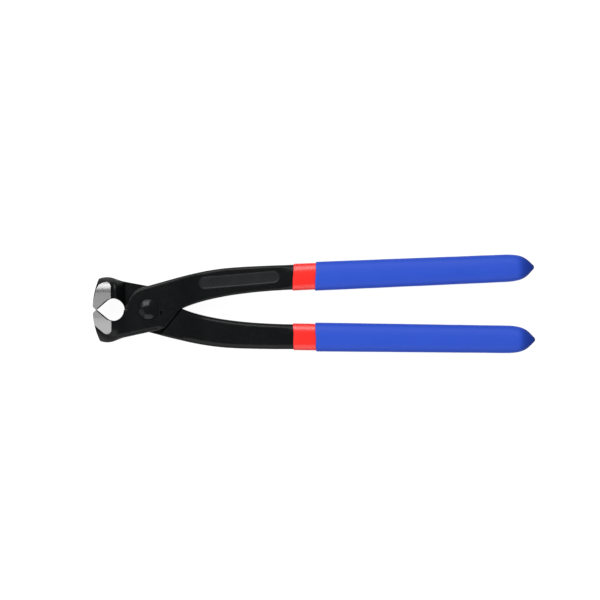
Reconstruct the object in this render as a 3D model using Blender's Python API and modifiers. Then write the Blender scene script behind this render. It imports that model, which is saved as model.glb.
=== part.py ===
"""Rebar tying pliers: two forged levers, lapped face to face on one rivet, with two-layer dipped grips.

Both levers are the same forging. The rear one is the front one turned over about the long axis.
Units are metres. +X runs from the pivot to the grips, +Y to the upper handle and +Z along the pivot axis.
The origin is on the pivot axis, in the plane that the tool lies on.
"""

import math

import bmesh
import bpy
from mathutils import Matrix, Vector

MM = 0.001

# Clearances
LAP_GAP = 0.2 * MM
EDGE_GAP = 0.2 * MM
SHOULDER_GAP = 0.4 * MM
RIVET_CLEARANCE = 0.1 * MM
COAT_GAP = 0.1 * MM

# Pivot: the cheek is the round, half-thick boss of each lever, and the rivet goes through both
CHEEK_R = 12.65 * MM
CHEEK_T = 7.5 * MM
RIVET_R = 4.0 * MM
RIVET_HEAD_R = 5.75 * MM
RIVET_STAND = 2.5 * MM
RIVET_RIM = 0.8 * MM
RIVET_CHAMFER = 0.6 * MM

# Jaw: a round throat behind two cutting edges
THROAT_R = 6.15 * MM
THROAT_WEB = 1.2 * MM
EDGE_AHEAD = 9.6 * MM
NOSE_AHEAD = 1.65 * MM
NOSE_SPAN = 2.5 * MM
CROWN_HALF = 18.45 * MM
CROWN_BACK = 6.6 * MM
CORNER_BACK = 0.6 * MM
JAW_ROUND = 3.4 * MM
JAW_ROUND_DEPTH = 5.0 * MM
SHOULDER_RUN = 4.9 * MM
FACET_LENGTH = 8.3 * MM
FACET_ANGLE = math.radians(20)

# Lower edge and heel of the cheek, as lines at a distance from the pivot
WAIST_R = 12.75 * MM
WAIST_ANGLE = math.radians(11.5)
HEEL_R = 14.4 * MM
HEEL_ANGLE = math.radians(40.4)
HEEL_SINK = 1.0 * MM

# Handle: its outer edge leaves the cheek along a tangent, its inner edge leaves the crotch
RISE_ANGLE = math.radians(15.2)
CROTCH_ANGLE = math.radians(23)
NECK_X = 80.0 * MM
NECK_Y = 16.8 * MM
NECK_W = 14.2 * MM
NECK_T = 7.0 * MM
BAR_T = 8.6 * MM
BAR_RUN = 20.0 * MM
BAR_ROUND = 1.3 * MM
TAIL_X = 201.0 * MM
TAIL_Y = 20.05 * MM
TAIL_W = 13.3 * MM
TAIL_T = 2.9 * MM
TAIL_LENGTH = 16.0 * MM
TAIL_TIP_R = 2.0 * MM

# Panel sunk into the outer face of the handle
PANEL_START = (32.0 * MM, 14.3 * MM)
PANEL_END = (70.8 * MM, 17.1 * MM)
PANEL_R = 3.5 * MM
PANEL_DEPTH = 0.5 * MM

# Dipped coats of the grip: a thin red one, then a blue one that starts further back
RED_START_X = 81.6 * MM
RED_WALL = 0.45 * MM
BLUE_START_X = 94.0 * MM
BLUE_WALL = 0.5 * MM
BLUE_FACE_WALL = 1.2 * MM
BLUE_ROUND = 3.9 * MM
TIP_DOME = 0.5 * MM

# Places worked out from the sizes above
JAW_HALF = CHEEK_T + RIVET_STAND
THROAT_X = -(CHEEK_R + THROAT_WEB + THROAT_R)
EDGE_X = THROAT_X - EDGE_AHEAD
NOSE_X = EDGE_X - NOSE_AHEAD
CROWN_X = EDGE_X + CROWN_BACK
REACH = JAW_HALF + 2 * RIVET_STAND

# Corners of the head, a little rounder than its rims so that the rims fit round them
CORNER_DROP = JAW_ROUND + 0.3 * MM
HEEL_ROUND = JAW_ROUND + 1.6 * MM

# Half thickness of the handle along X
BAR_SIDE = [
    (CHEEK_R, CHEEK_T),
    (CHEEK_R + BAR_RUN / 2, (CHEEK_T + BAR_T / 2) / 2),
    (CHEEK_R + BAR_RUN, BAR_T / 2),
    (NECK_X, NECK_T / 2),
    (TAIL_X, NECK_T / 2),
    (TAIL_X + TAIL_LENGTH, TAIL_T / 2),
]

# Steps of the round stretches
ARC_STEP = math.radians(12)
CURVE_STEPS = 10
ROUND_STEPS = 3
RIVET_STEPS = 32


def polar(radius, angle):
    return Vector((radius * math.cos(angle), radius * math.sin(angle)))


def arc(centre, radius, start, end):
    """Points of a round stretch, both ends included."""
    steps = max(2, math.ceil(abs(end - start) / ARC_STEP))
    return [Vector(centre) + polar(radius, start + (end - start) * i / steps) for i in range(steps + 1)]


def bezier(start, first, second, end, steps=CURVE_STEPS):
    """Points of a cubic curve, both ends included."""
    points = []
    for i in range(steps + 1):
        t = i / steps
        s = 1 - t
        points.append(s**3 * start + 3 * s * s * t * first + 3 * s * t * t * second + t**3 * end)
    return points


def crossing(point_a, direction_a, point_b, direction_b):
    """The point where two lines meet."""
    between = point_b - point_a
    turn = direction_a.x * direction_b.y - direction_a.y * direction_b.x
    along = (between.x * direction_b.y - between.y * direction_b.x) / turn
    return point_a + along * direction_a


def offset_path(points, distance):
    """An open path moved sideways, to its right, with its straight runs kept parallel."""
    normals = []
    for a, b in zip(points, points[1:]):
        run = (b - a).normalized()
        normals.append(Vector((run.y, -run.x)))
    moved = [points[0] + distance * normals[0]]
    for point, before, after in zip(points[1:-1], normals, normals[1:]):
        moved.append(point + distance * (before + after) / (1 + before.dot(after)))
    moved.append(points[-1] + distance * normals[-1])
    return moved


def interpolate(knots, x):
    """Height at x of a side profile given as (x, height) knots, level beyond its ends."""
    if x <= knots[0][0]:
        return knots[0][1]
    for (x0, height0), (x1, height1) in zip(knots, knots[1:]):
        if x <= x1:
            return height0 + (height1 - height0) * (x - x0) / (x1 - x0)
    return knots[-1][1]


# Scene helpers

def clear_scene():
    for obj in list(bpy.data.objects):
        bpy.data.objects.remove(obj, do_unlink=True)


def new_collection(name):
    collection = bpy.data.collections.new(name)
    bpy.context.scene.collection.children.link(collection)
    return collection


def new_material(name, colour, roughness, metallic):
    material = bpy.data.materials.new(name)
    material.use_nodes = True
    shader = material.node_tree.nodes["Principled BSDF"]
    shader.inputs["Base Color"].default_value = (*colour, 1.0)
    shader.inputs["Roughness"].default_value = roughness
    shader.inputs["Metallic"].default_value = metallic
    return material


def evaluated_mesh(obj):
    bpy.context.view_layer.update()
    graph = bpy.context.evaluated_depsgraph_get()
    return bpy.data.meshes.new_from_object(obj.evaluated_get(graph), depsgraph=graph)


def helper(name, mesh):
    """A cutter or a tool body: it shapes the parts and isn't one of them."""
    obj = bpy.data.objects.new(name, mesh)
    bpy.data.collections["cutters"].objects.link(obj)
    obj.hide_render = True
    obj.display_type = "WIRE"
    return obj


def boolean(obj, operation, other):
    modifier = obj.modifiers.new(f"{operation.lower()}_{other.name}", "BOOLEAN")
    modifier.operation = operation
    modifier.solver = "EXACT"
    modifier.object = other


def plate(name, outline, half_thickness):
    """A flat outline in the XY plane with thickness both ways, as a helper mesh with one face on each side."""
    curve = bpy.data.curves.new(name, "CURVE")
    curve.dimensions = "2D"
    curve.fill_mode = "BOTH"
    curve.extrude = half_thickness
    spline = curve.splines.new("POLY")
    spline.points.add(len(outline) - 1)
    for point, place in zip(spline.points, outline):
        point.co = (*place, 0, 1)
    spline.use_cyclic_u = True
    drawn = helper(name + "_outline", curve)
    mesh = evaluated_mesh(drawn)
    bpy.data.objects.remove(drawn)
    shape = bmesh.new()
    shape.from_mesh(mesh)
    bmesh.ops.remove_doubles(shape, verts=shape.verts, dist=1e-6)
    bmesh.ops.dissolve_limit(shape, angle_limit=1e-3, verts=shape.verts, edges=shape.edges)
    bmesh.ops.recalc_face_normals(shape, faces=shape.faces)
    shape.to_mesh(mesh)
    shape.free()
    return helper(name, mesh)


def round_rims(obj, inward, depth, steps):
    """Rounds the rims of a plate's two faces: inward across the face, depth down the wall."""
    shape = bmesh.new()
    shape.from_mesh(obj.data)
    top = max(vertex.co.z for vertex in shape.verts)
    caps = [face for face in shape.faces if abs(face.normal.z) > 0.9]
    rims = [edge for cap in caps for edge in cap.edges]
    bmesh.ops.bevel(shape, geom=rims, offset=inward, segments=steps, profile=0.5, affect="EDGES")
    for vertex in shape.verts:
        above_wall = abs(vertex.co.z) - (top - inward)
        vertex.co.z = math.copysign(top - depth + above_wall * depth / inward, vertex.co.z)
    shape.to_mesh(obj.data)
    shape.free()


def set_thickness(obj, front, back):
    """Moves a plate's two faces to side profiles, given as knots along X, and keeps the depth of its rims."""
    shape = bmesh.new()
    shape.from_mesh(obj.data)
    top = max(vertex.co.z for vertex in shape.verts)
    for x in sorted({x for x, height in front + back}):
        everything = list(shape.verts) + list(shape.edges) + list(shape.faces)
        bmesh.ops.bisect_plane(shape, geom=everything, dist=1e-7, plane_co=(x, 0, 0), plane_no=(1, 0, 0))
    for vertex in shape.verts:
        if vertex.co.z > 0:
            vertex.co.z += interpolate(front, vertex.co.x) - top
        else:
            vertex.co.z -= interpolate(back, vertex.co.x) - top
    shape.to_mesh(obj.data)
    shape.free()


def box_cutter(name, place):
    """A cube whose corners are moved to place(sign_x, sign_y, sign_z)."""
    shape = bmesh.new()
    bmesh.ops.create_cube(shape, size=2)
    for vertex in shape.verts:
        vertex.co = place(*(math.copysign(1, value) for value in vertex.co))
    mesh = bpy.data.meshes.new(name)
    shape.to_mesh(mesh)
    shape.free()
    return helper(name, mesh)


# Outlines of one lever: its jaw is below the long axis and its handle above

def head_outline():
    """Jaw, lower edge and heel. Its upper side lies inside the cheek or is cut away by the throat."""
    inside_y = 3.0 * MM
    waist_normal = polar(1, WAIST_ANGLE - math.pi / 2)
    waist_run = polar(1, WAIST_ANGLE)
    heel_normal = polar(1, -HEEL_ANGLE)
    heel_run = Vector((-heel_normal.y, heel_normal.x))
    corner = crossing(WAIST_R * waist_normal, waist_run, HEEL_R * heel_normal, heel_run)
    nose = Vector((NOSE_X, -NOSE_SPAN))
    front_corner = Vector((EDGE_X + CORNER_BACK, -CROWN_HALF + CORNER_DROP))
    crown = Vector((CROWN_X, -CROWN_HALF))
    front_run = polar(1, math.radians(-77))
    waist_start_x = -(CHEEK_R + SHOULDER_GAP + CORNER_BACK)
    waist_start = crossing(Vector((waist_start_x, 0)), Vector((0, 1)), corner, waist_run)
    crown_reach = (waist_start.x - CROWN_X) / 3
    points = [Vector((NOSE_X, inside_y))]
    points += bezier(nose, nose - Vector((0, 4 * MM)), front_corner - 4 * MM * front_run, front_corner, 5)
    points += bezier(
        front_corner,
        front_corner + CORNER_DROP * 0.7 * front_run,
        crown - Vector((CORNER_DROP, 0)),
        crown,
        6,
    )[1:]
    points += bezier(
        crown,
        crown + Vector((crown_reach, 0)),
        waist_start - crown_reach * waist_run,
        waist_start,
        6,
    )[1:]
    heel_centre = crossing(
        (WAIST_R - HEEL_ROUND) * waist_normal, waist_run, (HEEL_R - HEEL_ROUND) * heel_normal, heel_run
    )
    points += arc(heel_centre, HEEL_ROUND, WAIST_ANGLE - math.pi / 2, -HEEL_ANGLE)
    points += [
        crotch() - 3 * MM * heel_run,
        Vector((CHEEK_R, 0)),
        Vector((-CHEEK_R / 2, inside_y)),
    ]
    return points


def crotch():
    """Where the handle's inner edge meets the heel, just above the long axis."""
    heel_normal = polar(1, -HEEL_ANGLE)
    y = EDGE_GAP / 2
    return Vector(((HEEL_R - heel_normal.y * y) / heel_normal.x, y))


def tail_path(start_x):
    """The bar's edges from start_x on the inner side, round the pointed tail and back on the outer side."""
    neck = Vector((NECK_X, NECK_Y))
    tail = Vector((TAIL_X, TAIL_Y))
    along = (tail - neck).normalized()
    across = Vector((-along.y, along.x))
    tip_centre = tail + (TAIL_LENGTH - TAIL_TIP_R) * along

    def edge_at(x, side):
        share = (x - NECK_X) / (TAIL_X - NECK_X)
        middle = neck + (tail - neck) * share
        return middle + side * (NECK_W + (TAIL_W - NECK_W) * share) / 2 * across

    def tip_point(side, angle):
        return tip_centre + TAIL_TIP_R * (math.cos(angle) * along + side * math.sin(angle) * across)

    def half_tail(side):
        shoulder = edge_at(TAIL_X, side)
        end = tip_point(side, math.pi / 4)
        backwards = (side * across - along).normalized()
        reach = 0.55 * TAIL_LENGTH
        side_points = bezier(shoulder, shoulder + reach * along, end + reach / 2 * backwards, end, 6)
        return [edge_at(start_x, side)] + side_points + [tip_point(side, math.pi / 12)]

    return half_tail(-1) + half_tail(1)[::-1]


def eased(start, start_run, end, end_run, fullness):
    """A bend from one straight run into another. Fullness is how far it reaches towards their crossing."""
    meet = crossing(start, start_run, end, end_run)
    return bezier(start, start + fullness * (meet - start), end + fullness * (meet - end), end)


def handle_outline():
    """Round cheek and bar, from the cheek's tangent to the pointed tail."""
    leave = polar(CHEEK_R, math.pi / 2 + RISE_ANGLE)
    start = crotch()
    heel_tangent = -math.acos(CHEEK_R / start.length)
    bar = tail_path(NECK_X)
    inner_run = bar[1] - bar[0]
    outer_run = bar[-2] - bar[-1]
    points = arc((0, 0), CHEEK_R, math.pi / 2 + RISE_ANGLE, 2 * math.pi + heel_tangent)
    points += eased(start, polar(1, CROTCH_ANGLE), bar[0], inner_run, 2 / 3)
    points += bar[1:-1]
    points += eased(bar[-1], outer_run, leave, polar(1, RISE_ANGLE), 1)[:-1]
    return points


def throat_outline():
    """What is cut from the head: the throat, both bevels of the cutting edge and all beyond the parting line."""
    parting = -EDGE_GAP / 2
    edge = Vector((EDGE_X, parting))
    to_edge = EDGE_X - THROAT_X
    tangent = math.pi + math.acos(THROAT_R / -to_edge)
    far = 2 * CROWN_HALF
    back_x = -CHEEK_R + 0.5 * MM
    points = [edge]
    points += arc((THROAT_X, 0), THROAT_R, tangent, 2 * math.pi - math.asin(-parting / THROAT_R))
    points += [Vector((back_x, parting)), Vector((back_x, far)), Vector((EDGE_X - far, far))]
    points += [edge + Vector((-far, -far))]
    return points


def panel_outline():
    start = Vector(PANEL_START)
    end = Vector(PANEL_END)
    run = math.atan2(end.y - start.y, end.x - start.x)
    points = arc(start, PANEL_R, run + math.pi / 2, run + 3 * math.pi / 2)
    return points + arc(end, PANEL_R, run - math.pi / 2, run + math.pi / 2)


# Cutters of one lever

def lap_cutter():
    """Room for the other lever's cheek: from the sloping jaw shoulder to the handle's shoulder."""
    top = LAP_GAP / 2
    foot_x = -(CHEEK_R + SHOULDER_GAP)
    half = CROWN_HALF + NECK_W / 3
    normal = polar(1, HEEL_ANGLE)

    def place(sign_x, sign_y, sign_z):
        z = top if sign_z > 0 else -REACH
        y = sign_y * half
        if sign_x < 0:
            return Vector((foot_x + SHOULDER_RUN * (z - top) / JAW_HALF, y, z))
        return Vector(((HEEL_R + SHOULDER_GAP - normal.y * y) / normal.x, y, z))

    return box_cutter("lap_cutter", place)


def facet_cutter(name, side):
    """Ground flat on one side of the jaw, sloping in towards the cutting edge."""
    hinge = Vector((EDGE_X + FACET_LENGTH, 0, JAW_HALF))
    turn = Matrix.Rotation(-FACET_ANGLE, 4, "Y")
    length = 2 * CROWN_HALF

    def place(sign_x, sign_y, sign_z):
        local = Vector((0 if sign_x > 0 else -length, sign_y * length, 0 if sign_z < 0 else length))
        corner = hinge + turn @ local
        if side < 0:
            return Vector((corner.x, -corner.y, -corner.z))
        return corner

    return box_cutter(name, place)


def bore_cutter():
    shape = bmesh.new()
    radius = RIVET_R + RIVET_CLEARANCE
    bmesh.ops.create_cone(
        shape, cap_ends=True, segments=RIVET_STEPS, radius1=radius, radius2=radius, depth=2 * REACH
    )
    mesh = bpy.data.meshes.new("rivet_bore")
    shape.to_mesh(mesh)
    shape.free()
    return helper("rivet_bore", mesh)


# Meshes of the pieces

def lever_mesh():
    """One forging, with its lap, throat, facets, bore and panel machined."""
    head = plate("head", head_outline(), JAW_HALF)
    round_rims(head, JAW_ROUND, JAW_ROUND_DEPTH, ROUND_STEPS)
    jaw_end = -(CHEEK_R + SHOULDER_GAP + SHOULDER_RUN)
    head_front = [
        (jaw_end, JAW_HALF),
        (-(CHEEK_R + SHOULDER_GAP), CHEEK_T),
        (HEEL_R, CHEEK_T - HEEL_SINK),
    ]
    set_thickness(head, head_front, [(jaw_end, JAW_HALF)])

    handle = plate("handle", handle_outline(), CHEEK_T)
    round_rims(handle, BAR_ROUND, BAR_ROUND, ROUND_STEPS)
    set_thickness(handle, BAR_SIDE, BAR_SIDE)

    panel = plate("panel", panel_outline(), REACH)
    set_thickness(panel, [(NECK_X, REACH)], [(x, PANEL_DEPTH - height) for x, height in BAR_SIDE])

    boolean(head, "DIFFERENCE", plate("throat", throat_outline(), REACH))
    boolean(head, "UNION", handle)
    boolean(head, "DIFFERENCE", lap_cutter())
    boolean(head, "DIFFERENCE", bore_cutter())
    boolean(head, "DIFFERENCE", facet_cutter("front_facet", 1))
    boolean(head, "DIFFERENCE", facet_cutter("rear_facet", -1))
    boolean(head, "DIFFERENCE", panel)
    return evaluated_mesh(head)


def coat_rings(start_x, spread, face_spread, corner):
    """Rounded sections round the bar, from start_x to the tip, spread sideways from the steel.

    Off the steel's faces they stand face_spread, and only spread at the tip.
    """
    path = offset_path(tail_path(start_x), spread)
    off_face = [(TAIL_X, face_spread), (TAIL_X + TAIL_LENGTH, spread)]
    rings = []
    for low, high in zip(path[: len(path) // 2], path[::-1]):
        middle = (low + high) / 2
        across = (high - low).normalized()
        half_width = (high - low).length / 2
        half_height = interpolate(BAR_SIDE, middle.x) + interpolate(off_face, middle.x)
        radius = min(corner, 0.95 * half_width, 0.95 * half_height)
        ring = []
        for quadrant in range(4):
            side = 1 if quadrant in (0, 3) else -1
            face = 1 if quadrant in (0, 1) else -1
            for i in range(ROUND_STEPS + 1):
                turn = polar(radius, (quadrant + i / ROUND_STEPS) * math.pi / 2)
                place = middle + (side * (half_width - radius) + turn.x) * across
                ring.append((*place, face * (half_height - radius) + turn.y))
        rings.append(ring)
    return rings


def dome_ring(ring):
    """A smaller section ahead of the last one, so that the tip ends round."""
    middle = sum((Vector(place) for place in ring), Vector()) / len(ring)
    ahead = Vector((TIP_DOME, 0, 0))
    return [middle + (Vector(place) - middle) / 2 + ahead for place in ring]


def coat_mesh(name, rings):
    """A dipped coat, open at its front: lofted from the tip inside to the mouth and back outside."""
    shape = bmesh.new()
    loops = [[shape.verts.new(place) for place in ring] for ring in rings]
    for loop, following in zip(loops, loops[1:]):
        for i in range(len(loop)):
            shape.faces.new((loop[i - 1], loop[i], following[i], following[i - 1]))
    shape.faces.new(loops[0])
    shape.faces.new(loops[-1][::-1])
    bmesh.ops.recalc_face_normals(shape, faces=shape.faces)
    mesh = bpy.data.meshes.new(name)
    shape.to_mesh(mesh)
    shape.free()
    return mesh


def red_mesh():
    inside = COAT_GAP
    outside = inside + RED_WALL
    inner = coat_rings(RED_START_X, inside, inside, BAR_ROUND + inside)
    outer = coat_rings(RED_START_X, outside, outside, BAR_ROUND + outside)
    return coat_mesh("red_undercoat", inner[::-1] + outer)


def blue_mesh():
    inside = 2 * COAT_GAP + RED_WALL
    inner = coat_rings(BLUE_START_X, inside, inside, BAR_ROUND + inside)
    outer = coat_rings(BLUE_START_X, inside + BLUE_WALL, inside + BLUE_FACE_WALL, BLUE_ROUND)
    return coat_mesh("blue_overcoat", inner[::-1] + outer + [dome_ring(outer[-1])])


def rivet_profile():
    """Half section from the domed front head down to the flat rear head, which is flush with the jaws."""
    seat = CHEEK_T + RIVET_CLEARANCE
    dome = RIVET_STAND - RIVET_CLEARANCE - RIVET_RIM
    crown_r = (RIVET_HEAD_R**2 + dome**2) / (2 * dome)
    spread = math.asin(RIVET_HEAD_R / crown_r)
    points = []
    for i in range(7):
        angle = spread * i / 6
        points.append((crown_r * math.sin(angle), JAW_HALF - crown_r * (1 - math.cos(angle))))
    points += [
        (RIVET_HEAD_R, seat),
        (RIVET_R, seat),
        (RIVET_R, -seat),
        (RIVET_HEAD_R, -seat),
        (RIVET_HEAD_R, -JAW_HALF + RIVET_CHAMFER),
        (RIVET_HEAD_R - RIVET_CHAMFER, -JAW_HALF),
        (0, -JAW_HALF),
    ]
    return points


def rivet_mesh():
    profile = rivet_profile()
    mesh = bpy.data.meshes.new("rivet")
    mesh.from_pydata(
        [(radius, 0, z) for radius, z in profile],
        [(i, i + 1) for i in range(len(profile) - 1)],
        [],
    )
    turned = helper("rivet_profile", mesh)
    screw = turned.modifiers.new("turn", "SCREW")
    screw.axis = "Z"
    screw.angle = 2 * math.pi
    screw.steps = RIVET_STEPS
    screw.render_steps = RIVET_STEPS
    screw.use_merge_vertices = True
    screw.merge_threshold = 1e-6
    return evaluated_mesh(turned)


# Assembly

def pivot_empty(name, turn):
    """A frame on the pivot axis, in the plane where the cheeks meet."""
    empty = bpy.data.objects.new(name, None)
    bpy.data.collections["rebar_tying_pliers"].objects.link(empty)
    empty.location.z = JAW_HALF
    empty.rotation_euler.x = turn
    return empty


def piece(name, mesh, material, parent):
    obj = bpy.data.objects.new(name, mesh)
    bpy.data.collections["rebar_tying_pliers"].objects.link(obj)
    obj.parent = parent
    if not mesh.materials:
        mesh.materials.append(material)
    mesh.shade_smooth()
    mesh.set_sharp_from_angle(angle=math.radians(30))
    return obj


def main():
    clear_scene()
    new_collection("rebar_tying_pliers")
    new_collection("cutters")
    black = new_material("black_forged_steel", (0.018, 0.019, 0.021), 0.45, 0.6)
    dark = new_material("dark_rivet_steel", (0.03, 0.035, 0.036), 0.35, 0.8)
    red = new_material("red_dip", (1.0, 0.045, 0.035), 0.4, 0.0)
    blue = new_material("blue_dip", (0.04, 0.1, 0.62), 0.5, 0.0)

    front = pivot_empty("front_lever_pivot", 0)
    rear = pivot_empty("rear_lever_pivot", math.pi)
    lever = lever_mesh()
    undercoat = red_mesh()
    overcoat = blue_mesh()
    piece("front_lever", lever, black, front)
    piece("rear_lever", lever, black, rear)
    piece("pivot_rivet", rivet_mesh(), dark, front)
    piece("upper_red_undercoat", undercoat, red, front)
    piece("lower_red_undercoat", undercoat, red, rear)
    piece("upper_blue_grip", overcoat, blue, front)
    piece("lower_blue_grip", overcoat, blue, rear)


main()
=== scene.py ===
# %% [markdown]
# # Rebar tying pliers
# This lesson dresses a measured model of a pair of tying pliers for a studio picture.
# The measured solids are loaded first and stay where they are.
# Each solid is then replaced by a finer piece of the same size in the same place, so that it still moves
# with its half of the tool.

import math

import bmesh
import bpy
from mathutils import Matrix, Vector, noise
from mathutils.kdtree import KDTree


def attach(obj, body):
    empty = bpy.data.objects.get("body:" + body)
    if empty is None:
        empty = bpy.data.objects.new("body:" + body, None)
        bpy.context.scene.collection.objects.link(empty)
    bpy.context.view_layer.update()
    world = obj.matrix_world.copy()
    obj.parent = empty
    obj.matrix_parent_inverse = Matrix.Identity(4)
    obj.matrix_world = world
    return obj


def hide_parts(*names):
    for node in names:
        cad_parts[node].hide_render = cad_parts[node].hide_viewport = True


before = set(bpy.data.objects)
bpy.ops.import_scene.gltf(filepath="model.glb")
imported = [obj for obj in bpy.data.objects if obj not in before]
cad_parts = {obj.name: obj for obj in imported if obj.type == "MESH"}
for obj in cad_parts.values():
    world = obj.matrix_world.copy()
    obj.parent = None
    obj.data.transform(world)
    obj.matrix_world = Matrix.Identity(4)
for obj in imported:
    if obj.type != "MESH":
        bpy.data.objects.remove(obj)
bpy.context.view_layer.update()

# %% [markdown]
# ## Camera
# The picture is taken from straight above, with the tool lying on its side and a long lens, so that nothing
# looks wider near the middle than at the ends. The tool lies a little out of level in the picture, which is
# a small roll of the camera here, because the tool itself has to stay on its axes.

# %% Camera
PICTURE_WIDTH = 0.3394
LAP_HEIGHT = 0.010
LENS, SENSOR = 200.0, 36.0
CAMERA_X, CAMERA_Y, CAMERA_ROLL = 0.08564, 0.00388, -0.85


def placed(name, data):
    obj = bpy.data.objects.new(name, data)
    bpy.context.scene.collection.objects.link(obj)
    return obj


camera_data = bpy.data.cameras.new("camera")
camera_data.lens = LENS
camera_data.sensor_width = SENSOR
camera_data.sensor_fit = "HORIZONTAL"
camera = placed("camera", camera_data)
camera.location = (CAMERA_X, CAMERA_Y, LAP_HEIGHT + PICTURE_WIDTH * LENS / SENSOR)
camera.rotation_euler.z = math.radians(CAMERA_ROLL)
bpy.context.scene.camera = camera
bpy.context.scene.view_settings.view_transform = "Standard"
print("camera height", round(camera.location.z, 3))

# %% [markdown]
# ## Node helpers
# Every finish below is a small network of nodes, and so is the shape of the grips. Two helpers keep that
# readable: one adds a node with its settings and inputs, the other does a sum with a Math node.
# An input that is given a socket is linked, and any other value is set on the input itself.


# %% Node helpers
def plug(tree, socket, value):
    if isinstance(value, bpy.types.NodeSocket):
        tree.links.new(value, socket)
    else:
        socket.default_value = value


def add(tree, kind, settings=None, inputs=None):
    made = tree.nodes.new(kind)
    for name, value in (settings or {}).items():
        setattr(made, name, value)
    for name, value in (inputs or {}).items():
        plug(tree, made.inputs[name], value)
    return made


def calc(tree, operation, *values, clamp=False):
    made = tree.nodes.new("ShaderNodeMath")
    made.operation = operation
    made.use_clamp = clamp
    for socket, value in zip(made.inputs, values):
        plug(tree, socket, value)
    return made.outputs[0]


print("helpers ready: plug, add, calc")

# %% [markdown]
# ## Floor and light
# A white sheet under large soft lamps shows a dark tool best. The sheet is a pale diffuse surface, so that
# the tool keeps a faint shadow, with some light of its own for the rays that the camera, a gloss or a clear
# material sends out, which lifts it to white without putting more light on the tool.
# The main lamp and a lower one stand beyond the tool, where the bright lines along the upper edges come from.
# A weak one on the left looks into the ground faces of the jaws, and a broad one on the near side draws the
# softer lines along the lower edges. The room behind is white for the camera and dim for everything else.

# %% Floor
FLOOR_TONE, FLOOR_GLOW = (0.17, 0.17, 0.17, 1), 0.96
FLOOR_HALF, FLOOR_DROP = 6, 0.0003


def floor_finish():
    material = bpy.data.materials.new("white_sheet")
    material.use_nodes = True
    tree = material.node_tree
    tree.nodes.remove(tree.nodes["Principled BSDF"])
    path = add(tree, "ShaderNodeLightPath").outputs
    seen = calc(tree, "MAXIMUM", path["Is Camera Ray"], path["Is Glossy Ray"])
    seen = calc(tree, "MAXIMUM", seen, path["Is Transmission Ray"])
    sheet = add(tree, "ShaderNodeBsdfDiffuse", inputs={"Color": FLOOR_TONE})
    glow = add(tree, "ShaderNodeEmission", inputs={"Strength": calc(tree, "MULTIPLY", seen, FLOOR_GLOW)})
    both = add(tree, "ShaderNodeAddShader")
    tree.links.new(sheet.outputs[0], both.inputs[0])
    tree.links.new(glow.outputs[0], both.inputs[1])
    tree.links.new(both.outputs[0], tree.nodes["Material Output"].inputs["Surface"])
    return material


floor_corners = [(x * FLOOR_HALF, y * FLOOR_HALF, 0) for x, y in ((-1, -1), (1, -1), (1, 1), (-1, 1))]
floor_mesh = bpy.data.meshes.new("floor")
floor_mesh.from_pydata(floor_corners, [], [(0, 1, 2, 3)])
floor_mesh.materials.append(floor_finish())
floor = placed("floor", floor_mesh)
floor.location.z = -FLOOR_DROP
print("floor", [round(value, 2) for value in floor.dimensions])

# %% Lamps
ROOM_LEVEL = 0.22


def lamp(name, place, aim, width, depth, watts):
    data = bpy.data.lights.new(name, "AREA")
    data.shape = "RECTANGLE"
    data.size = width
    data.size_y = depth
    data.energy = watts
    obj = placed(name, data)
    obj.location = place
    obj.rotation_euler = (Vector(aim) - Vector(place)).to_track_quat("-Z", "Y").to_euler()


lamp("far_lamp", (-0.30, 0.80, 1.22), (-0.30, 0.0, 0.0), 1.30, 0.70, 15.0)
lamp("low_lamp", (-0.20, 1.38, 0.85), (-0.20, 0.0, 0.0), 1.50, 0.50, 5.0)
lamp("left_lamp", (-0.96, -0.42, 1.02), (0.0, 0.0, 0.0), 0.80, 0.90, 2.0)
lamp("near_lamp", (0.08, -1.15, 0.87), (0.08, 0.0, 0.0), 1.40, 1.30, 9.5)

world = bpy.data.worlds.new("room")
world.use_nodes = True
room = world.node_tree
background = room.nodes["Background"].inputs
background["Color"].default_value = (1.0, 1.0, 1.0, 1.0)
room_path = add(room, "ShaderNodeLightPath").outputs
plug(room, background["Strength"], calc(room, "MAXIMUM", room_path["Is Camera Ray"], ROOM_LEVEL))
bpy.context.scene.world = world

# %% [markdown]
# ## Finishes of the steel
# All finishes start from a few noises on the object's own coordinates, so they move with the tool.
# Small helpers make the noises, map their range, mix two colours by them and stack them up as fine relief.


# %% Helpers for finishes
def new_finish(name):
    """A material, its tree and the coordinates on the object."""
    material = bpy.data.materials.new(name)
    material.use_nodes = True
    tree = material.node_tree
    return material, tree, add(tree, "ShaderNodeTexCoord").outputs["Object"]


def set_shader(tree, tone, roughness, specular, normal, metallic=0.0):
    inputs = tree.nodes["Principled BSDF"].inputs
    plug(tree, inputs["Base Color"], tone)
    plug(tree, inputs["Roughness"], roughness)
    plug(tree, inputs["Specular IOR Level"], specular)
    plug(tree, inputs["Normal"], normal)
    plug(tree, inputs["Metallic"], metallic)


def cloudy(tree, place, scale, detail):
    made = add(tree, "ShaderNodeTexNoise", inputs={"Vector": place, "Scale": scale, "Detail": detail})
    return made.outputs["Fac"]


def drawn_out(tree, place, scales, detail):
    """A noise with a scale of its own along each axis."""
    mapped = add(tree, "ShaderNodeMapping", inputs={"Vector": place, "Scale": scales})
    return cloudy(tree, mapped.outputs["Vector"], 1.0, detail)


def remap(tree, value, old_range, new_range):
    ends = dict(zip(("From Min", "From Max", "To Min", "To Max"), old_range + new_range))
    return add(tree, "ShaderNodeMapRange", inputs={"Value": value, **ends}).outputs["Result"]


def blend(tree, share, first, second):
    """A colour between two others. Each is a socket or three numbers."""
    colours = [one if isinstance(one, bpy.types.NodeSocket) else (*one, 1) for one in (first, second)]
    ends = {"Factor": share, "A": colours[0], "B": colours[1]}
    return add(tree, "ShaderNodeMix", {"data_type": "RGBA"}, ends).outputs["Result"]


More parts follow.
